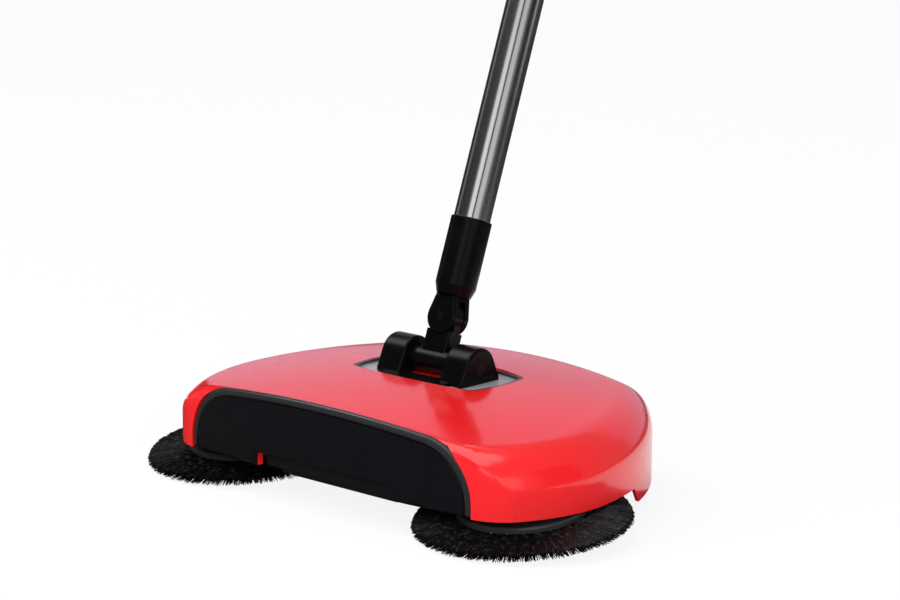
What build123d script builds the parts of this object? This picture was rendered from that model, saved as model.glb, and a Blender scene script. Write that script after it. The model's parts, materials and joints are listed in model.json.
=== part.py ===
from build123d import *
import os
from math import acos, asin, atan2, cos, degrees, pi, radians, sin, sqrt, tan

# Hand-pushed carpet sweeper. Millimetres, floor at z = 0, the front faces -Y.
# The pieces are laid out about the floor point under the handle hinge and are
# moved together at the end, so that the origin is the middle of the footprint.

# Clearances
running_clearance = 0.05
sliding_gap = 0.4
part_gap = 0.3

# Head outline, seen from above
end_centre_x = 62.5
end_centre_y = -37
end_radius = 104
blend_angle = 8
side_radius = 210
rear_corner_y = 101
rear_y = 115
front_y = -115
front_angle = 40.6
front_corner_round = 36
front_crease_round = 10
rear_corner_round = 30

# Head shell
top_height = 78
crown_radius = 870
shoulder_round = 28
wall = 2.6
lower_edge = 21
skirt_edge = 10
skirt_start_y = 18
skirt_slope = 9
pillow_reach = 70
trim_margin = 0.3

# Dust bin and its black face
face_half_width = 126
face_top_drop = 5
face_side_drop = 14.6
face_corner_margin = 2.4
face_thickness = 3.2
face_setback = 0.4
face_backing = 4.5
face_edge_round = 2.6
face_rim = 4.6
groove_width = 0.9
groove_depth = 0.8
notch_half_width = 60
notch_height = 30.5
bin_wall = 2
bin_floor = 20.6
bin_bridge_half_width = 50
bin_lip = 32
bin_headroom = 12
bin_front_y = -102
bin_rear_y = -10
bin_travel_room = 0.6

# Chassis plate
plate_bottom = 33
plate_thickness = 3
plate_corner_turn = 4
bay_wall = 3
bay_floor_thickness = 2.5
chin_half_width = 52
chin_bottom = 14.4
chin_front_y = -94
chin_thickness = 6
bay_rear_y = -8
boss_radius = 5
side_boss_x = 136
side_boss_y = -22
rear_boss_x = 40
rear_boss_y = 62

# Side brushes, tipped forward so that the front tips meet the floor
brush_x = 124
brush_y = -55
brush_tilt = 6
brush_radius = 70
hub_radius = 42
ring_bottom = 5
hub_bottom = 8
hub_top = 11.5
hub_boss_bottom = 3
hub_boss_top = 16
ring_inner_radius = 34
ring_radius = 41
hub_boss_radius = 9
brush_screw_radius = 7
bristle_root_radius = 39
bristle_count = 120
bristle_width = 1.3
bristle_root_height = 6.5
bristle_tip_height = 0.7
brush_shaft_radius = 3
brush_shaft_top = 40
brush_pulley_radius = 12
tip_clearance = 0.8

# Wheels and axle
wheel_radius = 25
tyre_thickness = 3
wheel_width = 15
wheel_dish = 5
wheel_hub_radius = 8
wheel_side_room = 15.46
wheel_well_room = 2.5
tyre_inset = 1
axle_y = 55
axle_radius = 3
axle_end = 2
gear_end_gap = 3
gear_slot_room = 4
gear_width = 6
gear_module = 1.5
axle_teeth = 26
roller_teeth = 20
backlash = 0.5
pressure_angle = 20
gear_root = 1.25
gear_tip = 0.95
flank_start = 0.1

# Roller brush
roller_bristle_radius = 24
roller_core_radius = 11
roller_end_gap = 6
roller_room = 3
roller_rows = 6
roller_tufts = 20
roller_bristle_width = 1.6
roller_shaft_radius = 3
roller_sleeve = 2
roller_twist = 60

# Bearing blocks
block_thickness = 8
block_margin = 6
window_margin = 1

# Friction wheels that carry the drive from the road wheels to the side brushes
friction_radius = 7.2
friction_width = 5
contact_radius = 15.6
layshaft_radius = 2.5
lay_pulley_radius = 8
belt_size = 3
belt_height = 35
flange = 1.2
boss_wall = 2.2
lay_boss_gap = 1

# Rear support rollers
rear_roller_x = 60
rear_roller_y = 80
rear_roller_radius = 8
rear_roller_width = 12
rear_roller_round = 1
rear_pin_radius = 2
rear_ear = 2.5
rear_ear_radius = 4

# Hinge tray and bracket on top of the head
tray_half_width = 54
tray_half_depth = 26
tray_side_bow = 4
tray_front_bow = 7
tray_corner = 7
tray_sink = 4.4
tray_step = 1.3
tray_floor_thickness = 2
tray_wall = 2
tray_flange = 9
tray_wall_height = 2.3
tray_boss_radius = 3.2
tray_boss_gap = 1
tray_boss_y = 18
pivot_rise = 9.4
ear_outer_x = 39
bracket_screw_y = 10
ear_thickness = 21
ear_radius = 14.6
ear_half_base = 19
ear_edge_round = 2
bracket_plate = 2.5
bracket_window_depth = 28
pin_radius = 4

# Handle, measured along its axis from the hinge
handle_lean = 19.8
barrel_radius = 9
neck_width = 21
neck_depth = 14.5
neck_round = 2
neck_top = 20.5
tongue_thickness = 6.4
tongue_radius = 11.4
swivel_height = 30
swivel_pin_radius = 3
cheek_radius = 12
knuckle_depth = 17
knuckle_bridge = 42.1
knuckle_top_half = 8.6
knuckle_round = 2
socket_bottom = 45
socket_taper = 2.3
socket_taper_height = 6.6
socket_rim_round = 0.7
socket_top = 98
socket_radius = 14
tube_radius = 12.5
tube_wall = 0.5
tube_bottom = 64
tube_length = 300
joint_ring = 8
joint_plug = 22
grip_length = 130
grip_radius = 16
grip_swell = 1.5
grip_overlap = 110
cap_base = 6
cap_thickness = 12
loop_radius = 12
loop_height = 18
hang_hole_radius = 5

# Fasteners
screw_radius = 1.6
screw_head_radius = 3.2
screw_head_height = 2.2
screw_reach = 8

# Worked-out places
plate_top = plate_bottom + plate_thickness
face_top = top_height - face_top_drop
face_side_top = top_height - face_side_drop
face_corner_round = face_side_top - lower_edge - face_corner_margin
bin_top = top_height - bin_headroom
tray_floor = top_height - tray_sink
pivot_height = tray_floor + pivot_rise
tip_height = brush_radius * sin(radians(brush_tilt)) + tip_clearance
side_centre_x = end_centre_x - (side_radius - end_radius) * cos(radians(blend_angle))
side_centre_y = end_centre_y - (side_radius - end_radius) * sin(radians(blend_angle))
side_end_angle = degrees(asin((rear_corner_y - side_centre_y) / side_radius))
corner_x = end_centre_x + end_radius * cos(radians(front_angle))
corner_y = end_centre_y - end_radius * sin(radians(front_angle))
bow = corner_y - front_y
bow_radius = (corner_x**2 + bow**2) / (2 * bow)
bow_centre_y = front_y + bow_radius
axle_z = wheel_radius
wheel_back_y = axle_y + wheel_radius
side_wall_x = side_centre_x + sqrt(side_radius**2 - (wheel_back_y - side_centre_y) ** 2) - wall
wheel_inner_x = side_wall_x - wheel_side_room - wheel_width
lay_x = wheel_inner_x - part_gap - friction_radius
block_outer_x = lay_x - friction_radius - part_gap
block_inner_x = block_outer_x - block_thickness
axle_gear_x = block_inner_x - gear_end_gap - gear_width
roller_half_length = axle_gear_x - roller_end_gap
axle_half_length = wheel_inner_x + wheel_width + axle_end
gear_distance = gear_module * (axle_teeth + roller_teeth) / 2
roller_z = roller_bristle_radius + tip_clearance
sleeve_bore = roller_core_radius - roller_sleeve
roller_y = axle_y - sqrt(gear_distance**2 - (axle_z - roller_z) ** 2)
bay_half_width = notch_half_width + bay_wall
tub_half_width = notch_half_width - bin_travel_room
recess_depth = face_setback + face_thickness + sliding_gap
front_wall = recess_depth + face_backing
tilt = radians(brush_tilt)
drop_y = axle_y - brush_y
drop_z = axle_z - tip_height
lay_y = drop_y * cos(tilt) + drop_z * sin(tilt)
axle_level = -drop_y * sin(tilt) + drop_z * cos(tilt)
friction_level = axle_level + contact_radius
axle_spot = (axle_y, axle_z)
roller_spot = (roller_y, roller_z)
rear_spot = (rear_roller_y, rear_roller_radius)
pivot_spot = (0, pivot_height)
ear_inner_x = ear_outer_x - ear_thickness
tray_flange_top = tray_floor - tray_step
tray_underside = tray_flange_top - tray_floor_thickness
bracket_spots = [
    (side * (ear_outer_x - ear_thickness / 2), end * bracket_screw_y)
    for side in (-1, 1)
    for end in (-1, 1)
]
lay_spot = (lay_x - brush_x, lay_y)
left_lay_spot = (brush_x - lay_x, lay_y)
bay_floor = bin_floor - bin_travel_room - bay_floor_thickness
bay_floor_top = bay_floor + bay_floor_thickness
bay_front_y = front_y + front_wall + bow
window_rear_y = roller_y + roller_bristle_radius + roller_room
window_half_width = block_inner_x - window_margin
head_reach = end_centre_x + end_radius
ear_shift = rear_roller_width / 2 + part_gap + rear_ear / 2
brush_boss_radius = brush_shaft_radius + running_clearance + 2 * boss_wall
brush_bore = brush_shaft_radius + running_clearance
brush_boss_low = hub_boss_top + part_gap
brush_boss_high = belt_height - belt_size / 2 - 2 * part_gap - flange
lay_bore = layshaft_radius + running_clearance
lay_boss_radius = lay_bore + boss_wall
lay_boss_low = axle_level + axle_radius + lay_boss_gap
lay_boss_high = friction_level - friction_width / 2 - part_gap
boss_spots = [(side * side_boss_x, side_boss_y) for side in (-1, 1)]
boss_spots += [(side * rear_boss_x, rear_boss_y) for side in (-1, 1)]
tray_reach = tray_half_width + tray_side_bow
tray_boss_x = tray_reach + part_gap + tray_boss_radius + tray_boss_gap
tray_spots = [
    (side * tray_boss_x, end * tray_boss_y)
    for side in (-1, 1)
    for end in (-1, 1)
]
block_middle_x = block_inner_x + block_thickness / 2
block_spots = [
    (side * block_middle_x, (roller_y + axle_y) / 2 + end * block_margin)
    for side in (-1, 1)
    for end in (-1, 1)
]
brush_axis = (0, -sin(tilt), cos(tilt))
brush_plane = Plane((brush_x, brush_y, tip_height), x_dir=(1, 0, 0), z_dir=brush_axis)
left_brush_plane = Plane((-brush_x, brush_y, tip_height), x_dir=(1, 0, 0), z_dir=brush_axis)
handle_plane = Plane(
    (0, 0, pivot_height),
    x_dir=(1, 0, 0),
    z_dir=(0, sin(radians(handle_lean)), cos(radians(handle_lean))),
)
swivel_plane = Plane(
    handle_plane.from_local_coords(Vector(0, 0, swivel_height)),
    x_dir=(1, 0, 0),
    z_dir=-handle_plane.y_dir,
)
grip_top = tube_bottom + 3 * tube_length + 2 * joint_ring - grip_overlap + grip_length
grip_bottom = grip_top - grip_length
loop_plane = Plane(
    handle_plane.from_local_coords(Vector(0, 0, grip_top + cap_base + loop_height)),
    x_dir=handle_plane.y_dir,
    z_dir=(1, 0, 0),
)
pieces = []


def keep(builder, name):
    """Give a finished piece its name and hold it for the last step."""
    builder.part.label = name
    pieces.append(builder.part)


def keep_pair(builder, name):
    """Keep the right-hand piece and its mirror image on the left."""
    with BuildPart() as left_piece:
        mirror(builder.part, about=Plane.YZ)
    keep(builder, "right_" + name)
    keep(left_piece, "left_" + name)


def head_plan(inset, reach, bulge, front_round, rear_round):
    """Plan of the head: end arcs, side arcs, and the bowed front and rear."""
    with BuildSketch() as plan:
        with BuildLine():
            end_centre = (end_centre_x, end_centre_y)
            end = CenterArc(end_centre, end_radius - inset, -reach, reach + blend_angle)
            side_centre = (side_centre_x, side_centre_y)
            side_sweep = side_end_angle - blend_angle
            side = CenterArc(side_centre, side_radius - inset, blend_angle, side_sweep)
            mirror(end, about=Plane.YZ)
            mirror(side, about=Plane.YZ)
            rear = side @ 1
            front = end @ 0
            ThreePointArc(rear, (0, rear_y - inset), (-rear.X, rear.Y))
            ThreePointArc(front, (0, front.Y - bulge), (-front.X, front.Y))
        make_face()
        fillet(plan.vertices().group_by(Axis.Y)[0], front_round)
        fillet(plan.vertices().group_by(Axis.Y)[-1], rear_round)
    return plan.sketch


def rounded_head(inset):
    """The head as a pillow with a crowned top, longer at the front than needed."""
    plan = head_plan(inset, pillow_reach, bow, shoulder_round + wall, rear_corner_round - inset)
    with BuildPart() as pillow:
        extrude(plan, amount=top_height + shoulder_round)
        with Locations((0, 0, top_height - inset - crown_radius)):
            Sphere(crown_radius, mode=Mode.INTERSECT)
        fillet(pillow.faces().sort_by(Axis.Z)[-1].edges(), shoulder_round - inset)
    return pillow.part


def face_outline(grow):
    """Front face of the bin: straight sides, bowed top, well rounded shoulders."""
    half = face_half_width + grow
    side_top = face_side_top + grow
    with BuildSketch(Plane.XZ) as outline:
        with BuildLine():
            top_line = ThreePointArc((-half, side_top), (0, face_top + grow), (half, side_top))
            Polyline(top_line @ 1, (half, lower_edge), (-half, lower_edge), top_line @ 0)
        make_face()
        fillet(outline.vertices().group_by(Axis.Y)[-1], face_corner_round + grow)
    return outline.sketch


def tray_outline(grow):
    """Plan of the hinge recess: bowed sides that meet in rounded corners."""
    half_x = tray_half_width + grow
    half_y = tray_half_depth + grow
    with BuildSketch() as outline:
        with BuildLine():
            front = ThreePointArc((-half_x, -half_y), (0, -half_y - tray_front_bow), (half_x, -half_y))
            right = ThreePointArc(front @ 1, (half_x + tray_side_bow, 0), (half_x, half_y))
            rear = ThreePointArc(right @ 1, (0, half_y + tray_front_bow), (-half_x, half_y))
            ThreePointArc(rear @ 1, (-half_x - tray_side_bow, 0), front @ 0)
        make_face()
        fillet(outline.vertices(), tray_corner + grow)
    return outline.sketch


def disc(plane, height, radius, thickness, at=(0, 0), mode=Mode.ADD):
    """A plain cylinder standing on a plane."""
    with BuildSketch(plane.offset(height)) as circle:
        with Locations(at):
            Circle(radius)
    extrude(circle.sketch, amount=thickness, mode=mode)


def gear_points(teeth, phase):
    """Outline of a spur gear with involute flanks drawn as short straight lines."""
    pitch = gear_module * teeth / 2
    base = pitch * cos(radians(pressure_angle))
    root = pitch - gear_root * gear_module
    tip = pitch + gear_tip * gear_module
    half_tooth = pi / (2 * teeth) - backlash / (2 * pitch)
    radii = [root, max(base, root + flank_start), pitch, (pitch + tip) / 2, tip]
    points = []
    for tooth in range(teeth):
        middle = phase + 2 * pi * tooth / teeth
        flank = [(r, half_tooth + flank_turn(base, pitch) - flank_turn(base, r)) for r in radii]
        points += [(r * cos(middle - a), r * sin(middle - a)) for r, a in flank]
        points += [(r * cos(middle + a), r * sin(middle + a)) for r, a in reversed(flank)]
    return points


def flank_turn(base, radius):
    """Involute angle at a radius, nil below the base circle."""
    angle = acos(min(1, base / radius))
    return tan(angle) - angle


def grooved_pulley(radius, at):
    """Belt pulley with two flanges, in the plane of the belt."""
    half = belt_size / 2 + part_gap
    with BuildPart() as pulley:
        disc(brush_plane, belt_height - half - flange, radius, 2 * (half + flange), at)
        disc(brush_plane, belt_height - half - flange, radius + belt_size, flange, at)
        disc(brush_plane, belt_height + half, radius + belt_size, flange, at)
    return pulley.part


def top_at(x, y):
    """Height of the middle of the shell's roof above a point of the plan."""
    return top_height - wall / 2 - (x**2 + y**2) / (2 * crown_radius)


def belt_hull(grow):
    """Outline of a loop round the two pulleys."""
    with BuildSketch(brush_plane.offset(belt_height - belt_size / 2)) as hull:
        Circle(brush_pulley_radius + grow)
        with Locations(lay_spot):
            Circle(lay_pulley_radius + grow)
        make_hull()
    return hull.sketch


# Outer shell of the head, with the recess for the bin face
with BuildPart() as head_cavity:
    plan = head_plan(wall - trim_margin, front_angle, bow, front_corner_round, rear_corner_round)
    extrude(plan, amount=top_height)
    with Locations((0, bow_centre_y, top_height / 2)):
        Cylinder(bow_radius - front_wall, top_height, mode=Mode.INTERSECT)
    add(rounded_head(wall), mode=Mode.INTERSECT)

with BuildPart() as face_prism:
    extrude(face_outline(sliding_gap), amount=-front_y + bow)
    with Locations((0, bow_centre_y, top_height / 2)):
        Cylinder(bow_radius - recess_depth, 2 * top_height, mode=Mode.SUBTRACT)

with BuildPart() as upper_housing:
    plan = head_plan(-trim_margin, front_angle, bow, front_corner_round, rear_corner_round)
    extrude(plan, amount=top_height)
    add(rounded_head(0), mode=Mode.INTERSECT)
    front_walls = upper_housing.faces().filter_by(GeomType.CYLINDER).sort_by(Axis.Y)[:3]
    creases = front_walls.edges().filter_by(GeomType.BSPLINE).sort_by(SortBy.LENGTH)[:-1]
    fillet(creases, front_crease_round)
    add(head_cavity.part, mode=Mode.SUBTRACT)
    with BuildSketch(Plane.YZ):
        with BuildLine():
            Polyline(
                (2 * front_y, -lower_edge),
                (2 * front_y, lower_edge),
                (skirt_start_y, lower_edge),
                (skirt_start_y + skirt_slope, skirt_edge),
                (2 * rear_y, skirt_edge),
                (2 * rear_y, -lower_edge),
                close=True,
            )
        make_face()
    extrude(amount=2 * face_half_width, both=True, mode=Mode.SUBTRACT)
    add(face_prism.part, mode=Mode.SUBTRACT)
    with Locations((0, front_y, 0)):
        doorway = 2 * (bin_top + bin_travel_room)
        Box(2 * notch_half_width, 4 * front_wall, doorway, mode=Mode.SUBTRACT)
    for x, y in boss_spots:
        disc(Plane.XY, plate_top, boss_radius, top_at(x, y) - plate_top, (x, y))
        disc(Plane.XY, plate_top, screw_radius, screw_reach, (x, y), Mode.SUBTRACT)
    for x, y in tray_spots:
        disc(Plane.XY, tray_flange_top, tray_boss_radius, top_at(x, y) - tray_flange_top, (x, y))
        disc(Plane.XY, tray_flange_top, screw_radius, screw_reach / 4, (x, y), Mode.SUBTRACT)
    tray_opening = Plane.XY.offset(tray_flange_top) * tray_outline(part_gap)
    extrude(tray_opening, amount=top_height, mode=Mode.SUBTRACT)
keep(upper_housing, "upper_housing")

# Chassis: plate with brush bosses, bin bay, chin and rear roller ears
with BuildPart() as base_chassis:
    plate_reach = front_angle - plate_corner_turn
    plate_inset = wall + part_gap
    plan = head_plan(plate_inset, plate_reach, bow, front_corner_round, rear_corner_round - wall)
    extrude(Plane.XY.offset(plate_bottom) * plan, amount=plate_thickness)
    with Locations((0, bow_centre_y, plate_bottom)):
        Cylinder(bow_radius - front_wall - part_gap, 4 * plate_thickness, mode=Mode.INTERSECT)
    with Locations((0, (bay_front_y + bay_rear_y) / 2, (bay_floor + bin_top) / 2)):
        Box(2 * bay_half_width, bay_rear_y - bay_front_y, bin_top - bay_floor)
    with Locations((0, front_y + bay_rear_y / 2, bay_floor_top + bin_top)):
        Box(2 * notch_half_width, bay_rear_y - 2 * front_y, 2 * bin_top, mode=Mode.SUBTRACT)
    with Locations((axle_gear_x + gear_width / 2, axle_y, plate_bottom)):
        slot_length = gear_module * axle_teeth + 2 * gear_slot_room
        Box(gear_width + gear_slot_room, slot_length, 4 * plate_thickness, mode=Mode.SUBTRACT)
    with Locations((0, (bay_rear_y + window_rear_y) / 2, plate_bottom)):
        window_depth = window_rear_y - bay_rear_y
        Box(2 * window_half_width, window_depth, 4 * plate_thickness, mode=Mode.SUBTRACT)
    with Locations((0, chin_front_y + chin_thickness / 2, (chin_bottom + bay_floor_top) / 2)):
        Box(2 * chin_half_width, chin_thickness, bay_floor_top - chin_bottom)
    for side in (-1, 1):
        with Locations((side * (wheel_inner_x + wheel_width / 2), axle_y, plate_bottom)):
            well_width = wheel_width + 2 * wheel_well_room
            well_length = 2 * (wheel_radius + wheel_well_room)
            Box(well_width, well_length, 4 * plate_thickness, mode=Mode.SUBTRACT)
        for ear_x in (rear_roller_x - ear_shift, rear_roller_x + ear_shift):
            with Locations((side * ear_x, rear_roller_y, (rear_roller_radius + plate_top) / 2)):
                Box(rear_ear, 2 * rear_ear_radius, plate_top - rear_roller_radius)
            disc(Plane.YZ, side * ear_x - rear_ear / 2, rear_ear_radius, rear_ear, rear_spot)
    disc(Plane.YZ, -head_reach, rear_pin_radius, 2 * head_reach, rear_spot, Mode.SUBTRACT)
    disc(brush_plane, brush_boss_low, brush_boss_radius, brush_boss_high - brush_boss_low)
    disc(brush_plane, lay_boss_low, lay_boss_radius, lay_boss_high - lay_boss_low, lay_spot)
    disc(left_brush_plane, brush_boss_low, brush_boss_radius, brush_boss_high - brush_boss_low)
    disc(left_brush_plane, lay_boss_low, lay_boss_radius, lay_boss_high - lay_boss_low, left_lay_spot)
    disc(brush_plane, 0, brush_bore, brush_shaft_top, mode=Mode.SUBTRACT)
    disc(brush_plane, lay_boss_low, lay_bore, lay_boss_high, lay_spot, Mode.SUBTRACT)
    disc(left_brush_plane, 0, brush_bore, brush_shaft_top, mode=Mode.SUBTRACT)
    disc(left_brush_plane, lay_boss_low, lay_bore, lay_boss_high, left_lay_spot, Mode.SUBTRACT)
    for x, y in boss_spots + block_spots:
        disc(Plane.XY, 0, screw_radius, plate_top, (x, y), Mode.SUBTRACT)
keep(base_chassis, "base_chassis")

# Dust bin: black face with a finger notch, and the tub that slides in the bay
with BuildPart() as bin_face:
    extrude(face_outline(0), amount=-front_y + bow)
    with Locations((0, bow_centre_y, 0)):
        Cylinder(bow_radius - face_setback, 4 * top_height, mode=Mode.INTERSECT)
        Cylinder(bow_radius - face_setback - face_thickness, 4 * top_height, mode=Mode.SUBTRACT)
    with BuildSketch(Plane.XZ):
        RectangleRounded(2 * notch_half_width, 2 * notch_height, face_rim)
    extrude(amount=-2 * front_y, mode=Mode.SUBTRACT)
    fillet(bin_face.faces().sort_by(Axis.Y)[0].edges(), face_edge_round)
    groove = extrude(face_outline(-face_rim), amount=-front_y + bow, mode=Mode.PRIVATE)
    groove -= extrude(face_outline(-face_rim - groove_width), amount=-front_y + bow, mode=Mode.PRIVATE)
    with Locations((0, bow_centre_y, 0)):
        groove -= Cylinder(bow_radius - face_setback - groove_depth, 4 * top_height, mode=Mode.PRIVATE)
    add(groove, mode=Mode.SUBTRACT)
keep(bin_face, "bin_face")
with BuildPart() as bin_tub:
    with Locations((0, (bin_front_y + bin_rear_y) / 2, (bin_floor + bin_top) / 2)):
        Box(2 * tub_half_width, bin_rear_y - bin_front_y, bin_top - bin_floor)
    with Locations((0, (front_y + bin_front_y) / 2, (notch_height + bin_top) / 2)):
        Box(2 * bin_bridge_half_width, bin_front_y - front_y, bin_top - notch_height - 4 * bin_wall)
    with Locations((0, bow_centre_y, 0)):
        Cylinder(bow_radius - face_setback - face_thickness, 4 * top_height, mode=Mode.INTERSECT)
    with BuildSketch(Plane.XY.offset(bin_floor + bin_wall)):
        with Locations((0, (bin_front_y + bin_rear_y) / 2)):
            Rectangle(2 * (tub_half_width - bin_wall), bin_rear_y - bin_front_y - 2 * bin_wall)
    extrude(amount=top_height, mode=Mode.SUBTRACT)
    with Locations((0, bin_rear_y, bin_lip + top_height / 2)):
        Box(2 * (tub_half_width - bin_wall), 4 * bin_wall, top_height, mode=Mode.SUBTRACT)
keep(bin_tub, "bin_tub")

# Axle with the two road wheels, their tyres and the drive gear
with BuildPart() as drive_axle:
    disc(Plane.YZ, -axle_half_length, axle_radius, 2 * axle_half_length, axle_spot)
keep(drive_axle, "drive_axle")

with BuildPart() as wheel:
    rim_radius = wheel_radius - tyre_thickness
    disc(Plane.YZ, wheel_inner_x, rim_radius, wheel_width, axle_spot)
    outer_x = wheel_inner_x + wheel_width
    disc(Plane.YZ, outer_x - wheel_dish, rim_radius - tyre_thickness, wheel_dish, axle_spot, Mode.SUBTRACT)
    disc(Plane.YZ, outer_x - wheel_dish, wheel_hub_radius, wheel_dish, axle_spot)
    disc(Plane.YZ, wheel_inner_x, axle_radius, wheel_width, axle_spot, Mode.SUBTRACT)
keep_pair(wheel, "wheel")

with BuildPart() as tyre:
    disc(Plane.YZ, wheel_inner_x + tyre_inset, wheel_radius, wheel_width - 2 * tyre_inset, axle_spot)
    fillet(tyre.edges().filter_by(GeomType.CIRCLE), tyre_thickness / 2)
    disc(Plane.YZ, wheel_inner_x, wheel_radius - tyre_thickness, wheel_width, axle_spot, Mode.SUBTRACT)
keep_pair(tyre, "tyre")

mesh_angle = atan2(roller_z - axle_z, roller_y - axle_y)
with BuildPart() as drive_gear:
    with BuildSketch(Plane.YZ.offset(axle_gear_x)):
        with Locations(axle_spot):
            Polygon(*gear_points(axle_teeth, mesh_angle), align=None)
            Circle(axle_radius, mode=Mode.SUBTRACT)
    extrude(amount=gear_width)
keep(drive_gear, "drive_gear")

# Roller brush with its gear
with BuildPart() as roller_gear:
    with BuildSketch(Plane.YZ.offset(axle_gear_x)):
        with Locations(roller_spot):
            Polygon(*gear_points(roller_teeth, mesh_angle + pi + pi / roller_teeth), align=None)
            Circle(roller_shaft_radius, mode=Mode.SUBTRACT)
    extrude(amount=gear_width)
keep(roller_gear, "roller_gear")

with BuildPart() as roller_shaft:
    disc(Plane.YZ, -block_outer_x, roller_shaft_radius, 2 * block_outer_x, roller_spot)
keep(roller_shaft, "roller_shaft")

with BuildPart() as roller_core:
    disc(Plane.YZ, -roller_half_length, sleeve_bore, 2 * roller_half_length, roller_spot)
    bore_length = 2 * roller_half_length
    disc(Plane.YZ, -roller_half_length, roller_shaft_radius, bore_length, roller_spot, Mode.SUBTRACT)
keep(roller_core, "roller_core")

tuft_planes = []
for row in range(roller_rows):
    for tuft in range(roller_tufts):
        x = roller_half_length * (2 * (tuft + 0.5) / roller_tufts - 1)
        turn = radians(360 * row / roller_rows + roller_twist * tuft / roller_tufts)
        middle = (roller_core_radius - roller_sleeve / 2 + roller_bristle_radius) / 2
        spot = (x, roller_y + middle * cos(turn), roller_z + middle * sin(turn))
        tuft_planes.append(Plane(spot, x_dir=(1, 0, 0), z_dir=(0, cos(turn), sin(turn))))
with BuildPart() as roller_bristles:
    disc(Plane.YZ, -roller_half_length, roller_core_radius, 2 * roller_half_length, roller_spot)
    disc(Plane.YZ, -roller_half_length, sleeve_bore, 2 * roller_half_length, roller_spot, Mode.SUBTRACT)
    with Locations(*tuft_planes):
        tuft_length = roller_bristle_radius - roller_core_radius + roller_sleeve / 2
        Box(roller_bristle_width, roller_bristle_width, tuft_length)
keep(roller_bristles, "roller_bristles")

# Bearing blocks under the chassis plate, for the axle and the roller
with BuildPart() as bearing_block:
    with BuildSketch(Plane.YZ.offset(block_inner_x)):
        with Locations(axle_spot, roller_spot):
            Circle(axle_radius + block_margin)
        make_hull()
        with Locations(((axle_y + roller_y) / 2, (axle_z + plate_bottom) / 2)):
            Rectangle(axle_y - roller_y, plate_bottom - axle_z)
        with Locations(axle_spot):
            Circle(axle_radius + running_clearance, mode=Mode.SUBTRACT)
        with Locations(roller_spot):
            Circle(roller_shaft_radius + running_clearance, mode=Mode.SUBTRACT)
    extrude(amount=block_thickness)
    with BuildSketch(Plane.XY.offset(plate_bottom)):
        Rectangle(4 * block_outer_x, 4 * block_outer_x)
    extrude(amount=block_margin, mode=Mode.SUBTRACT)
    for x, y in block_spots:
        disc(Plane.XY, plate_bottom - screw_reach, screw_radius, screw_reach, (x, y), Mode.SUBTRACT)
keep_pair(bearing_block, "bearing_block")

# Side brushes: hub, bristle ring, shaft, pulley and screw
with BuildPart() as brush_hub:
    disc(brush_plane, hub_bottom, hub_radius, hub_top - hub_bottom)
    upper_rim = brush_hub.edges().filter_by(GeomType.CIRCLE).group_by(Axis.Z)[-1]
    chamfer(upper_rim, (hub_top - hub_bottom) / 3)
    disc(brush_plane, hub_boss_bottom, hub_boss_radius, hub_boss_top - hub_boss_bottom)
    disc(brush_plane, hub_boss_bottom, brush_shaft_radius, hub_boss_top, mode=Mode.SUBTRACT)
keep_pair(brush_hub, "brush_hub")

slope = atan2(bristle_root_height - bristle_tip_height, brush_radius - bristle_root_radius)
strand_length = (brush_radius - bristle_root_radius) / cos(slope)
strand_planes = []
for strand in range(bristle_count):
    turn = 2 * pi * strand / bristle_count
    middle = (bristle_root_radius + brush_radius) / 2
    level = (bristle_root_height + bristle_tip_height) / 2
    spot = Vector(middle * cos(turn), middle * sin(turn), level)
    along = Vector(cos(turn) * cos(slope), sin(turn) * cos(slope), -sin(slope))
    rise = Vector(cos(turn) * sin(slope), sin(turn) * sin(slope), cos(slope))
    origin = brush_plane.from_local_coords(spot)
    along = brush_plane.from_local_coords(along) - brush_plane.origin
    rise = brush_plane.from_local_coords(rise) - brush_plane.origin
    strand_planes.append(Plane(origin, x_dir=along, z_dir=rise))
with BuildPart() as brush_bristles:
    disc(brush_plane, ring_bottom, ring_radius, hub_bottom - ring_bottom)
    disc(brush_plane, ring_bottom, ring_inner_radius, hub_bottom - ring_bottom, mode=Mode.SUBTRACT)
    with Locations(*strand_planes):
        Box(strand_length, bristle_width, bristle_width)
keep_pair(brush_bristles, "brush_bristles")

with BuildPart() as brush_shaft:
    disc(brush_plane, hub_boss_bottom, brush_shaft_radius, brush_shaft_top - hub_boss_bottom)
keep_pair(brush_shaft, "brush_shaft")

with BuildPart() as brush_screw:
    disc(brush_plane, hub_boss_bottom - screw_head_height, brush_screw_radius, screw_head_height)
keep_pair(brush_screw, "brush_screw")

with BuildPart() as brush_pulley:
    add(grooved_pulley(brush_pulley_radius, (0, 0)))
    disc(brush_plane, 0, brush_shaft_radius, 2 * belt_height, mode=Mode.SUBTRACT)
keep_pair(brush_pulley, "brush_pulley")

# Layshaft: friction wheel on the road wheel's inner face, pulley above it
with BuildPart() as layshaft:
    disc(brush_plane, lay_boss_low, layshaft_radius, brush_shaft_top - lay_boss_low, lay_spot)
keep_pair(layshaft, "layshaft")

with BuildPart() as friction_wheel:
    disc(brush_plane, friction_level - friction_width / 2, friction_radius, friction_width, lay_spot)
    fillet(friction_wheel.edges().filter_by(GeomType.CIRCLE), friction_width / 5)
    disc(brush_plane, 0, layshaft_radius, 2 * belt_height, lay_spot, Mode.SUBTRACT)
keep_pair(friction_wheel, "friction_wheel")

with BuildPart() as layshaft_pulley:
    add(grooved_pulley(lay_pulley_radius, lay_spot))
    disc(brush_plane, 0, layshaft_radius, 2 * belt_height, lay_spot, Mode.SUBTRACT)
keep_pair(layshaft_pulley, "layshaft_pulley")

with BuildPart() as drive_belt:
    extrude(belt_hull(belt_size), amount=belt_size)
    extrude(belt_hull(part_gap), amount=belt_size, mode=Mode.SUBTRACT)
keep_pair(drive_belt, "drive_belt")

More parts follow.
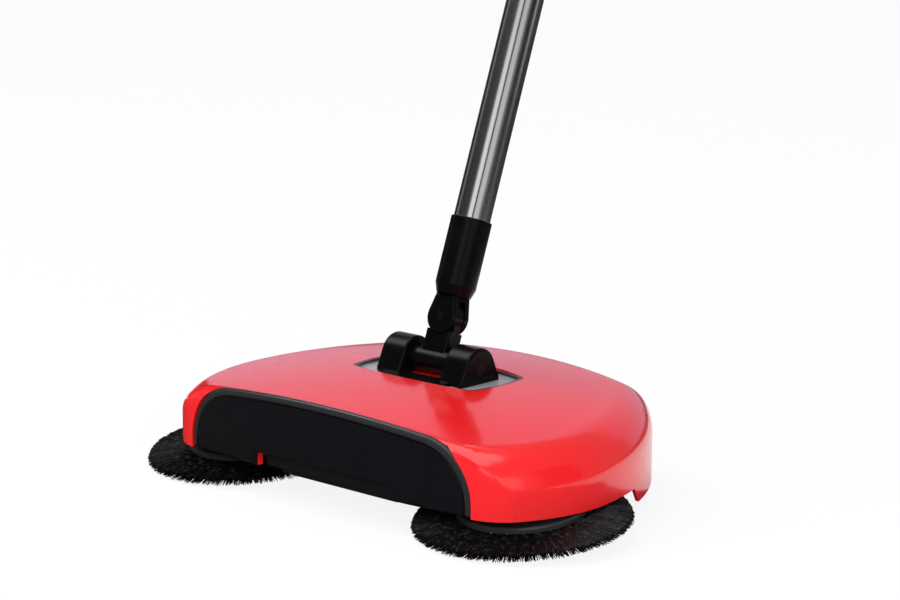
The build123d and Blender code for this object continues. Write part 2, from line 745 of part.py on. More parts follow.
# Rear support rollers on their pins
with BuildPart() as rear_roller:
    left_face = rear_roller_x - rear_roller_width / 2
    disc(Plane.YZ, left_face, rear_roller_radius, rear_roller_width, rear_spot)
    fillet(rear_roller.edges().filter_by(GeomType.CIRCLE), rear_roller_round)
    bore = rear_pin_radius + running_clearance
    disc(Plane.YZ, left_face, bore, rear_roller_width, rear_spot, Mode.SUBTRACT)
keep_pair(rear_roller, "rear_roller")

with BuildPart() as rear_pin:
    reach = ear_shift + rear_ear / 2
    disc(Plane.YZ, rear_roller_x - reach, rear_pin_radius, 2 * reach, rear_spot)
keep_pair(rear_pin, "rear_pin")

# Hinge tray let into the top of the head
with BuildPart() as hinge_tray:
    extrude(Plane.XY.offset(tray_underside) * tray_outline(tray_flange), amount=tray_floor_thickness)
    extrude(Plane.XY.offset(tray_flange_top) * tray_outline(0), amount=tray_step + tray_wall_height)
    tray_inside = Plane.XY.offset(tray_floor) * tray_outline(-tray_wall)
    extrude(tray_inside, amount=tray_wall_height, mode=Mode.SUBTRACT)
    for x, y in tray_spots + bracket_spots:
        disc(Plane.XY, tray_underside, screw_radius, tray_floor - tray_underside, (x, y), Mode.SUBTRACT)
keep(hinge_tray, "hinge_tray")

# Hinge bracket with two ears, and the pin through them
with BuildPart() as hinge_ear:
    with BuildSketch(Plane.YZ.offset(ear_inner_x)):
        with Locations((0, tray_floor)):
            Rectangle(2 * ear_half_base, 2 * bracket_plate)
        with Locations((0, pivot_height)):
            Circle(ear_radius)
        make_hull()
    extrude(amount=ear_thickness)
    fillet(hinge_ear.faces().sort_by(Axis.X)[-1].edges(), ear_edge_round)
    fillet(hinge_ear.faces().sort_by(Axis.X)[0].edges(), ear_edge_round)
    with BuildSketch():
        Rectangle(4 * ear_outer_x, 4 * ear_outer_x)
    extrude(amount=tray_floor, mode=Mode.SUBTRACT)

with BuildPart() as hinge_bracket:
    bracket_foot = Plane.XY.offset(tray_floor) * tray_outline(-tray_wall - part_gap)
    extrude(bracket_foot, amount=bracket_plate)
    with Locations((0, 0, tray_floor + bracket_plate / 2)):
        Box(2 * ear_outer_x - ear_thickness, 4 * tray_half_depth, bracket_plate, mode=Mode.INTERSECT)
        Box(2 * ear_inner_x, bracket_window_depth, bracket_plate, mode=Mode.SUBTRACT)
    add(hinge_ear.part)
    mirror(hinge_ear.part, about=Plane.YZ)
    disc(Plane.YZ, -ear_outer_x, pin_radius, 2 * ear_outer_x, pivot_spot, Mode.SUBTRACT)
    for x, y in bracket_spots:
        disc(Plane.XY, tray_floor, screw_radius, screw_reach, (x, y), Mode.SUBTRACT)
keep(hinge_bracket, "hinge_bracket")

with BuildPart() as hinge_pin:
    disc(Plane.YZ, -ear_outer_x, pin_radius, 2 * ear_outer_x, pivot_spot)
keep(hinge_pin, "hinge_pin")

# Neck that tips on the hinge pin and carries the swivel pin
with BuildPart() as pivot_barrel:
    barrel_half = ear_inner_x - part_gap
    disc(Plane.YZ, -barrel_half, barrel_radius, 2 * barrel_half, pivot_spot)
    with BuildSketch(handle_plane):
        RectangleRounded(neck_width, neck_depth, neck_round)
    extrude(amount=neck_top)
    disc(swivel_plane, -knuckle_depth, cheek_radius + part_gap, 2 * knuckle_depth, mode=Mode.SUBTRACT)
    with BuildSketch(swivel_plane):
        Circle(tongue_radius)
        with Locations((0, -swivel_height / 2)):
            Rectangle(neck_width, swivel_height)
    extrude(amount=tongue_thickness / 2, both=True)
    pin_bore = pin_radius + running_clearance
    disc(Plane.YZ, -barrel_half, pin_bore, 2 * barrel_half, pivot_spot, Mode.SUBTRACT)
    swivel_bore = swivel_pin_radius + running_clearance
    disc(swivel_plane, -knuckle_depth, swivel_bore, 2 * knuckle_depth, mode=Mode.SUBTRACT)
keep(pivot_barrel, "pivot_barrel")

# Knuckle that swings sideways on the swivel pin
with BuildPart() as upper_knuckle:
    with BuildSketch(swivel_plane):
        Circle(cheek_radius)
        with Locations((0, (knuckle_bridge + socket_bottom) / 2 - swivel_height)):
            Rectangle(2 * knuckle_top_half, socket_bottom - knuckle_bridge)
        make_hull()
    extrude(amount=knuckle_depth / 2, both=True)
    fillet(upper_knuckle.faces().filter_by(swivel_plane).edges(), knuckle_round)
    with BuildSketch(handle_plane.offset(-cheek_radius)):
        Rectangle(4 * cheek_radius, tongue_thickness + 2 * part_gap)
    extrude(amount=knuckle_bridge + cheek_radius, mode=Mode.SUBTRACT)
    disc(swivel_plane, -knuckle_depth, swivel_pin_radius, 2 * knuckle_depth, mode=Mode.SUBTRACT)
keep(upper_knuckle, "upper_knuckle")

with BuildPart() as swivel_pin:
    disc(swivel_plane, -knuckle_depth / 2, swivel_pin_radius, knuckle_depth)
keep(swivel_pin, "swivel_pin")

# Handle: socket, three tubes with two joints, grip and hanging loop
with BuildPart() as handle_socket:
    with Locations(handle_plane.offset(socket_bottom + socket_taper_height / 2)):
        Cone(socket_radius - socket_taper, socket_radius, socket_taper_height)
    sleeve_bottom = socket_bottom + socket_taper_height
    disc(handle_plane, sleeve_bottom, socket_radius, socket_top - sleeve_bottom)
    fillet(handle_socket.edges().filter_by(GeomType.CIRCLE).sort_by(Axis.Z)[-1], socket_rim_round)
    disc(handle_plane, tube_bottom, tube_radius, socket_top, mode=Mode.SUBTRACT)
keep(handle_socket, "handle_socket")

tube_starts = [tube_bottom + place * (tube_length + joint_ring) for place in range(3)]
for start, name in zip(tube_starts, ("lower_tube", "middle_tube", "upper_tube")):
    with BuildPart() as tube:
        disc(handle_plane, start, tube_radius, tube_length)
        disc(handle_plane, start, tube_radius - tube_wall, tube_length, mode=Mode.SUBTRACT)
    keep(tube, name)

for start, name in zip(tube_starts[1:], ("lower_joint", "upper_joint")):
    with BuildPart() as tube_joint:
        disc(handle_plane, start - joint_ring, tube_radius + tube_wall, joint_ring)
        plug_low = start - joint_ring - joint_plug
        disc(handle_plane, plug_low, tube_radius - tube_wall, 2 * joint_plug + joint_ring)
    keep(tube_joint, name)

with BuildPart() as hand_grip:
    with BuildSketch(Plane(handle_plane.origin, x_dir=(1, 0, 0), z_dir=-handle_plane.y_dir)):
        with BuildLine():
            low = (grip_radius - grip_swell, grip_bottom)
            high = (grip_radius - grip_swell, grip_top)
            ThreePointArc(low, (grip_radius, (grip_bottom + grip_top) / 2), high)
            Polyline(high, (0, grip_top), (0, grip_bottom), low)
        make_face()
    revolve(axis=Axis(handle_plane.origin, handle_plane.z_dir), revolution_arc=360)
    fillet(hand_grip.edges().filter_by(GeomType.CIRCLE), grip_swell / 2)
    disc(handle_plane, grip_bottom, tube_radius, grip_overlap, mode=Mode.SUBTRACT)
keep(hand_grip, "hand_grip")

with BuildPart() as hang_cap:
    disc(handle_plane, grip_top, grip_radius - grip_swell, cap_base)
    with BuildSketch(loop_plane):
        Circle(loop_radius)
        with Locations((0, -loop_height / 2)):
            Rectangle(2 * loop_radius, loop_height)
    extrude(amount=cap_thickness / 2, both=True)
    with BuildSketch(loop_plane):
        Circle(hang_hole_radius)
    extrude(amount=cap_thickness, both=True, mode=Mode.SUBTRACT)
    with BuildSketch(handle_plane.offset(grip_bottom)):
        Circle(4 * grip_radius)
    extrude(amount=grip_top - grip_bottom, mode=Mode.SUBTRACT)
keep(hang_cap, "hang_cap")

# Screws, each kind a group
with BuildPart() as housing_screws:
    for spot in boss_spots:
        disc(Plane.XY, plate_bottom - screw_head_height, screw_head_radius, screw_head_height, spot)
        disc(Plane.XY, plate_bottom, screw_radius, plate_thickness + screw_reach, spot)
keep(housing_screws, "housing_screws")

with BuildPart() as tray_screws:
    for spot in tray_spots:
        disc(Plane.XY, tray_underside - screw_head_height, screw_head_radius, screw_head_height, spot)
        disc(Plane.XY, tray_underside, screw_radius, tray_floor_thickness + screw_reach / 4, spot)
keep(tray_screws, "tray_screws")

with BuildPart() as bracket_screws:
    for spot in bracket_spots:
        disc(Plane.XY, tray_underside - screw_head_height, screw_head_radius, screw_head_height, spot)
        disc(Plane.XY, tray_underside, screw_radius, tray_floor - tray_underside + screw_reach, spot)
keep(bracket_screws, "bracket_screws")

with BuildPart() as bearing_screws:
    for spot in block_spots:
        disc(Plane.XY, plate_top, screw_head_radius, screw_head_height, spot)
        disc(Plane.XY, plate_bottom - screw_reach, screw_radius, screw_reach + plate_thickness, spot)
keep(bearing_screws, "bearing_screws")

# The origin goes to the middle of the footprint, on the floor
low_y = min(piece.bounding_box().min.Y for piece in pieces)
high_y = max(piece.bounding_box().max.Y for piece in pieces)
footprint_shift = -(low_y + high_y) / 2
print("footprint shift", footprint_shift)
os.makedirs("parts", exist_ok=True)
for piece in pieces:
    placed = Pos(0, footprint_shift, 0) * piece
    placed.label = piece.label
    export_step(placed, "parts/" + piece.label + ".step")
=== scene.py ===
import json
import math
import random
import bmesh
import bpy
from mathutils import Matrix, Vector


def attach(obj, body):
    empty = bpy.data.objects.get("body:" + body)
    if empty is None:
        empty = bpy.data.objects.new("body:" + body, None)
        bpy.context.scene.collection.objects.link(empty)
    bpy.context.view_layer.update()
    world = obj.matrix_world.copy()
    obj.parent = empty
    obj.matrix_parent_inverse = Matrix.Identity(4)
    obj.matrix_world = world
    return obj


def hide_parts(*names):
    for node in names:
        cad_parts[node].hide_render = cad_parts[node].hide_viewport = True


# Carpet sweeper: finishes, dense bristles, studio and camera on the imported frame.
# Metres, floor at z = 0, the front of the head faces -Y.

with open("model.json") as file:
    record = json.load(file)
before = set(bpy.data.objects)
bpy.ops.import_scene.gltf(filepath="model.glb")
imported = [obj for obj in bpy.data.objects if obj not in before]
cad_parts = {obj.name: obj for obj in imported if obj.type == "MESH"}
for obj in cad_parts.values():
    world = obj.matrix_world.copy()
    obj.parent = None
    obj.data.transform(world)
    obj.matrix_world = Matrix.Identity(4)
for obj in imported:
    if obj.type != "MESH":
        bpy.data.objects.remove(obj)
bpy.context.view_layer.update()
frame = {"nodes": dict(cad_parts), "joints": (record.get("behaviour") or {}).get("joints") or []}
nodes = frame["nodes"]
joints = {joint["name"]: joint for joint in frame["joints"]}
hinge = Vector(joints["handle_pitch"]["pos_m"])
swivel = Vector(joints["handle_swivel"]["pos_m"])
handle_line = (swivel - hinge).normalized()
random.seed(7)

# Outline of the bin face, and the rim along it, painted a paler grey as a highlight
face_half = 0.126
face_corner = 0.04
face_middle_top = 0.073
face_side_top = 0.0634
rim_width = 0.0046
rim_edge = 0.001

# Floor of the hinge tray, where the painted shade on its wall starts, and half the width of its
# red middle
tray_floor = 0.0736
tray_wall_start = 0.0003
tray_wall_full = 0.0006
tray_red_half = 0.0275
tray_red_edge = 0.0005

# Dark line painted along the handle tube as a reflection, and the way it faces
dark_line_way = Vector((0.657, -0.752)).normalized()
dark_line_core = 0.0002
dark_line_half = 0.0005

# Side brushes: strands in one sector, repeated round the hub
brush_sectors = 12
sector_strands = 320
brush_root = 0.039
brush_reach = 0.0712
brush_raggedness = 0.0014
brush_layer_step = 0.002
brush_root_height = 0.0053
brush_root_layers = 0.0024
brush_tip_height = 0.0008
brush_tip_layers = 0.0042
brush_spacing_jitter = 0.4
brush_splay = 0.022
brush_strand = (0.0004, 0.0007)
brush_sag = 0.0007
brush_long_edge = 0.01
packed_reach = 0.066
packed_height = 0.0045
packed_depth = 0.0034
packed_segments = 64

# Roller brush: strands of one twisted row, repeated round the sleeve
roller_rows = 6
row_strands = 260
roller_half = 0.05
roller_fill = 0.99
roller_sleeve = 0.011
roller_bore = 0.009
roller_root = 0.0105
roller_reach = 0.024
roller_raggedness = 0.0012
roller_twist = math.radians(60)
roller_row_jitter = 0.035
roller_splay = 0.03
roller_sideways = 0.0007
roller_strand = (0.0005, 0.0008)
roller_sag = 0.0003
roller_long_edge = 0.006
sleeve_segments = 48

# Sides of a strand, and the share of its thickness that gives the radius at its tip
strand_sides = 4
strand_taper = 2.4

# Camera, fitted to the photograph
camera_turn = math.radians(42.16)
camera_rise = math.radians(11.68)
camera_roll = math.radians(0.49)
camera_x = 1.1829
camera_before_hinge = 1.2944
camera_height = 0.4873
camera_sensor = 36
camera_lens = 107.41

# Studio: the floor and its glow for the camera, the light of the sky, and how high the mats lie
floor_half = 14
floor_glow = 0.88
sky_light = 0.25
mat_height = 0.0004
upended = Matrix.Rotation(math.pi / 2, 4, "X")
side_on = Matrix.Rotation(math.pi / 2, 4, "Y")
left_turn = Matrix.Rotation(math.radians(-30), 4, "Z") @ upended


class Wire:
    """A node socket that can be used in Python expressions."""

    def __init__(self, tree, socket):
        self.tree = tree
        self.socket = socket

    def node(self, kind, settings, sockets, out=0):
        """Add a node, set it up, feed its sockets and give one of its outputs."""
        added = self.tree.nodes.new(kind)
        for name, value in settings.items():
            setattr(added, name, value)
        for name, value in sockets.items():
            if isinstance(value, Wire):
                self.tree.links.new(value.socket, added.inputs[name])
            else:
                added.inputs[name].default_value = value
        return Wire(self.tree, added.outputs[out])

    def maths(self, operation, first, second=0.0):
        """Add one sum on two values, each a wire or a number."""
        return self.node("ShaderNodeMath", {"operation": operation}, {0: first, 1: second})

    def __add__(self, other):
        return self.maths("ADD", self, other)

    __radd__ = __add__

    def __mul__(self, other):
        return self.maths("MULTIPLY", self, other)

    __rmul__ = __mul__

    def __sub__(self, other):
        return self.maths("SUBTRACT", self, other)

    def __rsub__(self, other):
        return self.maths("SUBTRACT", other, self)

    def __truediv__(self, other):
        return self.maths("DIVIDE", self, other)

    def __pow__(self, other):
        return self.maths("POWER", self, other)

    def __abs__(self):
        return self.maths("ABSOLUTE", self)

    def __gt__(self, other):
        return self.maths("GREATER_THAN", self, other)


def noise(place, scale, detail, stretch=(1.0, 1.0, 1.0)):
    """Soft noise, with the pattern drawn out along an axis by a small stretch."""
    spread = place.node("ShaderNodeMapping", {}, {"Vector": place, "Scale": stretch})
    sockets = {"Vector": spread, "Scale": scale, "Detail": detail}
    return place.node("ShaderNodeTexNoise", {}, sockets)


def ease(value, low, high):
    """0 below low, 1 above high, smooth between them."""
    settings = {"interpolation_type": "SMOOTHSTEP"}
    sockets = {"Value": value, "From Min": low, "From Max": high}
    return value.node("ShaderNodeMapRange", settings, sockets)


def blend(share, first, second):
    """Mix two colours by a share from 0 to 1."""
    settings = {"data_type": "RGBA"}
    return share.node("ShaderNodeMix", settings, {0: share, 6: first, 7: second}, out=2)


def relief(height, strength, depth):
    """Surface relief from a height pattern."""
    sockets = {"Strength": strength, "Distance": depth, "Height": height}
    return height.node("ShaderNodeBump", {}, sockets)


def parts_of(place):
    """The three coordinates of a place, each as its own value."""
    sockets = {"Vector": place}
    return [place.node("ShaderNodeSeparateXYZ", {}, sockets, out=axis) for axis in range(3)]


def finish(name, recipe):
    """A material from a recipe that turns Object coordinates into shader inputs."""
    made = bpy.data.materials.new(name)
    made.use_nodes = True
    tree = made.node_tree
    shader = tree.nodes["Principled BSDF"]
    place = Wire(tree, tree.nodes.new("ShaderNodeTexCoord").outputs["Object"])
    for socket, value in recipe(place).items():
        if isinstance(value, Wire):
            tree.links.new(value.socket, shader.inputs[socket])
        else:
            shader.inputs[socket].default_value = value
    return made


def red_shell(place):
    """Polished red moulding with faint flow clouding and a trace of orange peel."""
    cloud = noise(place, 14.0, 3.0)
    peel = noise(place, 420.0, 1.0)
    return {
        "Base Color": blend(cloud, (0.78, 0.012, 0.016, 1), (0.84, 0.016, 0.02, 1)),
        "Roughness": 0.14 + 0.08 * cloud,
        "Coat Weight": 0.35,
        "Coat Roughness": 0.05,
        "Normal": relief(peel, 0.03, 0.0002),
    }


def black_gloss(place):
    """High-gloss black moulding with fine handling haze and a rim painted greyer as a highlight.
    """
    across, _, height = parts_of(place)
    top_line = face_middle_top - (face_middle_top - face_side_top) * (across / face_half) ** 2
    past_side = abs(across) - (face_half - face_corner)
    past_top = height - top_line + face_corner
    side_part = past_side.maths("MAXIMUM", past_side, 0.0)
    top_part = past_top.maths("MAXIMUM", past_top, 0.0)
    inside = face_corner - (side_part**2 + top_part**2) ** 0.5
    # Painted highlight: the rim band is given a greyer base colour
    rim_highlight_band = 1 - ease(inside, rim_width - rim_edge, rim_width)
    haze = noise(place, 60.0, 4.0)
    peel = noise(place, 300.0, 1.0)
    deep = blend(haze, (0.0035, 0.003, 0.0045, 1), (0.006, 0.0055, 0.007, 1))
    return {
        "Base Color": blend(rim_highlight_band, deep, (0.02, 0.02, 0.022, 1)),
        "Roughness": 0.1 + 0.08 * haze + 0.12 * rim_highlight_band,
        "Specular IOR Level": 0.4,
        "Normal": relief(peel, 0.02, 0.0002),
    }


def black_moulding(place):
    """Satin black moulding with fine spark-eroded grain."""
    grain = noise(place, 900.0, 2.0)
    cloud = noise(place, 40.0, 2.0)
    return {
        "Base Color": blend(cloud, (0.0015, 0.0015, 0.0018, 1), (0.003, 0.003, 0.0033, 1)),
        "Roughness": 0.2 + 0.12 * cloud,
        "Specular IOR Level": 0.12,
        "Normal": relief(grain, 0.06, 0.0001),
    }


def hub_moulding(place):
    """Satin dark grey moulding of the brush hubs."""
    grain = noise(place, 800.0, 2.0)
    cloud = noise(place, 50.0, 2.0)
    return {
        "Base Color": blend(cloud, (0.018, 0.018, 0.019, 1), (0.03, 0.03, 0.031, 1)),
        "Roughness": 0.3 + 0.12 * cloud,
        "Normal": relief(grain, 0.08, 0.0001),
    }


def grey_moulding(place):
    """Matt grey moulding, such as the inner works."""
    grain = noise(place, 700.0, 2.0)
    cloud = noise(place, 30.0, 2.0)
    return {
        "Base Color": blend(cloud, (0.26, 0.26, 0.27, 1), (0.33, 0.33, 0.34, 1)),
        "Roughness": 0.42 + 0.12 * cloud,
        "Normal": relief(grain, 0.12, 0.0002),
    }


def chassis_moulding(place):
    """Matt black chassis and bin tub with moulded grain and a little dust."""
    grain = noise(place, 800.0, 2.0)
    dust = noise(place, 55.0, 5.0)
    return {
        "Base Color": blend(dust, (0.004, 0.004, 0.0045, 1), (0.009, 0.009, 0.0095, 1)),
        "Roughness": 0.45 + 0.15 * dust,
        "Normal": relief(grain, 0.15, 0.0002),
    }


def tray_moulding(place):
    """Recess of the hinge: pale grey floor, walls painted dark as shade, red between the ears."""
    across, _, height = parts_of(place)
    # Painted shade: everything above the tray floor is darkened, as on the shaded walls of the
    # recess
    wall_shade = ease(height, tray_floor + tray_wall_start, tray_floor + tray_wall_full)
    middle = ease(tray_red_half - abs(across), 0.0, tray_red_edge)
    cloud = noise(place, 40.0, 2.0)
    floor_grey = blend(cloud, (0.34, 0.34, 0.35, 1), (0.42, 0.42, 0.43, 1))
    wall_shaded = blend(wall_shade, floor_grey, (0.03, 0.03, 0.032, 1))
    return {
        "Base Color": blend(middle, wall_shaded, (0.84, 0.016, 0.02, 1)),
        "Roughness": 0.25 + 0.15 * cloud,
    }


def polished_tube(place):
    """Polished steel tube, drawn lengthwise, with a dark reflection line painted along it."""
    upright = Vector((0, 0, 1)).rotation_difference(handle_line).inverted()
    turn = tuple(upright.to_euler())
    shift = tuple(-(upright @ hinge))
    sockets = {"Vector": place, "Rotation": turn, "Location": shift}
    level = place.node("ShaderNodeMapping", {}, sockets)
    across, along, _ = parts_of(level)
    # Painted reflection: a dark line in the base colour, lengthwise on one side of the tube
    beside_dark_line = abs(across * dark_line_way.y - along * dark_line_way.x)
    dark_line_side = (across * dark_line_way.x + along * dark_line_way.y) > 0.0
    painted_dark_line = dark_line_side * (1 - ease(beside_dark_line, dark_line_core, dark_line_half))
    draw = noise(level, 900.0, 2.0, (1.0, 1.0, 0.01))
    smear = noise(level, 60.0, 2.0, (1.0, 1.0, 0.05))
    steel = blend(smear, (0.52, 0.52, 0.53, 1), (0.64, 0.64, 0.65, 1))
    return {
        "Base Color": blend(painted_dark_line, steel, (0.1, 0.1, 0.1, 1)),
        "Metallic": 1.0,
        "Roughness": 0.15 + 0.06 * draw + 0.05 * smear + 0.2 * painted_dark_line,
    }


def plated_steel(place):
    """Plain plated steel of pins, shafts and screws."""
    draw = noise(place, 500.0, 3.0, (0.1, 1.0, 1.0))
    return {
        "Base Color": blend(draw, (0.42, 0.42, 0.43, 1), (0.58, 0.58, 0.6, 1)),
        "Metallic": 1.0,
        "Roughness": 0.24 + 0.14 * draw,
    }


def blackened_steel(place):
    """Oil-blackened steel of the hinge and swivel pins."""
    draw = noise(place, 400.0, 3.0, (0.1, 1.0, 1.0))
    return {
        "Base Color": blend(draw, (0.0015, 0.0015, 0.0018, 1), (0.004, 0.004, 0.0042, 1)),
        "Roughness": 0.22 + 0.14 * draw,
        "Specular IOR Level": 0.25,
    }


def black_rubber(place):
    """Matt rubber with a slightly dusty, worn look."""
    grain = noise(place, 1100.0, 2.0)
    dust = noise(place, 70.0, 4.0)
    return {
        "Base Color": blend(dust, (0.012, 0.012, 0.012, 1), (0.035, 0.034, 0.033, 1)),
        "Roughness": 0.68 + 0.2 * dust,
        "Normal": relief(grain, 0.2, 0.0003),
    }


def nylon(place):
    """Black nylon strands, with greyer streaks painted on from strand to strand as glints."""
    glint_streak = noise(place, 330.0, 2.0)
    # Painted highlight: greyer streaks in the base colour stand for glints on the strands
    share = ease(glint_streak, 0.5, 0.72)
    return {
        "Base Color": blend(share, (0.003, 0.003, 0.0035, 1), (0.03, 0.03, 0.032, 1)),
        "Roughness": 0.32 + 0.16 * glint_streak,
        "Specular IOR Level": 0.2,
    }


recipes = [
    red_shell, black_gloss, black_moulding, hub_moulding, grey_moulding, chassis_moulding,
    tray_moulding, polished_tube, plated_steel, blackened_steel, black_rubber, nylon,
]
finishes = {recipe.__name__: finish(recipe.__name__, recipe) for recipe in recipes}

worn_by = {
    "red_shell": ["upper_housing"],
    "black_gloss": ["bin_face"],
    "black_moulding": [
        "hinge_bracket", "pivot_barrel", "upper_knuckle", "handle_socket", "hand_grip",
        "hang_cap", "lower_joint", "upper_joint",
    ],
    "hub_moulding": ["left_brush_hub", "right_brush_hub"],
    "grey_moulding": [
        "left_wheel", "right_wheel", "drive_gear", "roller_gear", "roller_core",
        "left_bearing_block", "right_bearing_block", "left_brush_pulley", "right_brush_pulley",
        "left_layshaft_pulley", "right_layshaft_pulley",
    ],
    "chassis_moulding": ["base_chassis", "bin_tub"],
    "tray_moulding": ["hinge_tray"],
    "polished_tube": ["lower_tube", "middle_tube", "upper_tube"],
    "plated_steel": [
        "drive_axle", "roller_shaft", "left_brush_shaft",
        "right_brush_shaft", "left_brush_screw", "right_brush_screw", "left_layshaft",
        "right_layshaft", "left_rear_pin", "right_rear_pin", "housing_screws", "tray_screws",
        "bracket_screws", "bearing_screws",
    ],
    "blackened_steel": ["hinge_pin", "swivel_pin"],
    "black_rubber": [
        "left_tyre", "right_tyre", "left_friction_wheel", "right_friction_wheel",
        "left_drive_belt", "right_drive_belt", "left_rear_roller", "right_rear_roller",
    ],
    "nylon": ["left_brush_bristles", "right_brush_bristles", "roller_bristles"],
}
for name, wearers in worn_by.items():
    for wearer in wearers:
        mesh = nodes[wearer].data
        mesh.materials.clear()
        mesh.materials.append(finishes[name])


def new_piece(name, mesh, look, body):
    """Turn a bmesh into an object that rides on a body."""
    data = bpy.data.meshes.new(name)
    mesh.to_mesh(data)
    mesh.free()
    data.materials.append(finishes[look])
    piece = bpy.data.objects.new(name, data)
    bpy.context.scene.collection.objects.link(piece)
    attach(piece, body)
    return piece


def strand(mesh, root, tip, thickness):
    """One tapered four-sided strand from root to tip."""
    run = tip - root
    stand = Matrix.Translation((root + tip) / 2) @ run.to_track_quat("Z", "Y").to_matrix().to_4x4()
    bmesh.ops.create_cone(
        mesh, cap_ends=False, segments=strand_sides, radius1=thickness / 2,
        radius2=thickness / strand_taper, depth=run.length, matrix=stand,
    )


def bow_strands(mesh, shortest, sag):
    """Cut every strand once along its length and push the cut sideways."""
    long_edges = [edge for edge in mesh.edges if edge.calc_length() > shortest]
    cut = bmesh.ops.subdivide_edges(mesh, edges=long_edges, cuts=1)
    middle = [part for part in cut["geom_inner"] if isinstance(part, bmesh.types.BMVert)]
    bmesh.ops.translate(mesh, verts=middle, vec=sag)


def repeat_round(mesh, middle, axis, copies):
    """Repeat everything in a bmesh evenly round an axis."""
    geometry = mesh.verts[:] + mesh.edges[:] + mesh.faces[:]
    bmesh.ops.spin(
        mesh, geom=geometry, cent=middle, axis=axis, angle=math.tau * (copies - 1) / copies,
        steps=copies - 1, use_duplicate=True,
    )


def side_brush(side):
    """Dense cone of nylon strands clamped under one brush hub, matted near the hub."""
    joint = joints[side + "_brush_spin"]
    axis = Vector(joint["axis"])
    seat = Matrix.Translation(joint["pos_m"]) @ axis.to_track_quat("Z", "Y").to_matrix().to_4x4()
    mesh = bmesh.new()
    for number in range(sector_strands):
        jitter = random.uniform(-brush_spacing_jitter, brush_spacing_jitter)
        turn = math.tau * (number + jitter) / sector_strands / brush_sectors
        lean = turn + random.gauss(0, brush_splay)
        layer = random.random()
        reach = brush_reach - random.uniform(0, brush_raggedness) - brush_layer_step * layer
        root_height = brush_root_height + brush_root_layers * layer
        tip_height = brush_tip_height + brush_tip_layers * layer
        root = Vector((brush_root * math.cos(turn), brush_root * math.sin(turn), root_height))
        tip = Vector((reach * math.cos(lean), reach * math.sin(lean), tip_height))
        strand(mesh, seat @ root, seat @ tip, random.uniform(*brush_strand))
    bow_strands(mesh, brush_long_edge, axis * brush_sag)
    repeat_round(mesh, seat.translation, axis, brush_sectors)
    bmesh.ops.create_cone(
        mesh, cap_ends=False, segments=packed_segments, radius1=packed_reach, radius2=brush_root,
        depth=packed_depth, matrix=seat @ Matrix.Translation((0, 0, packed_height)),
    )
    piece = new_piece(side + "_brush_strands", mesh, "nylon", side + "_side_brush")
    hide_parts(side + "_brush_bristles")


def roller_brush():
    """Six twisted rows of nylon tufts on the roller's sleeve."""
    middle = Vector(joints["roller_spin"]["pos_m"])
    mesh = bmesh.new()
    for number in range(row_strands):
        share = (number + random.random()) / row_strands
        turn = roller_twist * share + random.gauss(0, roller_row_jitter)
        splay = turn + random.gauss(0, roller_splay)
        x = roller_fill * roller_half * (2 * share - 1)
        reach = roller_reach - random.uniform(0, roller_raggedness)
        root = middle + Vector((x, roller_root * math.cos(turn), roller_root * math.sin(turn)))
        shift = random.gauss(0, roller_sideways)
        tip = middle + Vector((x + shift, reach * math.cos(splay), reach * math.sin(splay)))
        strand(mesh, root, tip, random.uniform(*roller_strand))
    bow_strands(mesh, roller_long_edge, Vector((roller_sag, 0, 0)))
    repeat_round(mesh, middle, Vector((1, 0, 0)), roller_rows)
    along_x = Matrix.Translation(middle) @ Matrix.Rotation(math.pi / 2, 4, "Y")
    sleeve = bmesh.ops.create_cone(
        mesh, cap_ends=False, segments=sleeve_segments, radius1=roller_sleeve,
        radius2=roller_sleeve, depth=2 * roller_half, matrix=along_x,
    )
    sleeve_edges = {edge for vert in sleeve["verts"] for edge in vert.link_edges}
    ends = [edge for edge in sleeve_edges if edge.is_boundary]
    rims = bmesh.ops.extrude_edge_only(mesh, edges=ends)["geom"]
    inner = [part for part in rims if isinstance(part, bmesh.types.BMVert)]
    shrink = (1, roller_bore / roller_sleeve, roller_bore / roller_sleeve)
    bmesh.ops.scale(mesh, verts=inner, vec=shrink, space=Matrix.Translation(-middle))
    piece = new_piece("roller_strands", mesh, "nylon", "roller")
    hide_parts("roller_bristles")


side_brush("left")
side_brush("right")
roller_brush()


def flat_sheet(name, half_width, half_depth):
    """Rectangle that belongs to the studio, not to the sweeper."""
    mesh = bmesh.new()
    bmesh.ops.create_grid(mesh, x_segments=1, y_segments=1, size=1)
    bmesh.ops.scale(mesh, verts=mesh.verts, vec=(half_width, half_depth, 1))
    data = bpy.data.meshes.new(name)
    mesh.to_mesh(data)
    mesh.free()
    sheet = bpy.data.objects.new(name, data)
    bpy.context.scene.collection.objects.link(sheet)
    return sheet


def studio_floor():
    """Pale floor that keeps a soft shadow under the sweeper."""
    floor = flat_sheet("studio_floor", floor_half, floor_half)
    paper = bpy.data.materials.new("floor_paper")
    paper.use_nodes = True
    tree = paper.node_tree
    shader = tree.nodes["Principled BSDF"]
    shader.inputs["Base Color"].default_value = (0.93, 0.93, 0.93, 1)
    shader.inputs["Roughness"].default_value = 0.9
    shader.inputs["Specular IOR Level"].default_value = 0.1
    path = Wire(tree, tree.nodes.new("ShaderNodeLightPath").outputs["Is Camera Ray"])
    glow = path.node("ShaderNodeEmission", {}, {"Color": (1, 1, 1, 1), "Strength": 1.0})
    lit = Wire(tree, shader.outputs["BSDF"])
    mixed = path.node("ShaderNodeMixShader", {}, {0: floor_glow * path, 1: lit, 2: glow})
    tree.links.new(mixed.socket, tree.nodes["Material Output"].inputs["Surface"])
    floor.data.materials.append(paper)


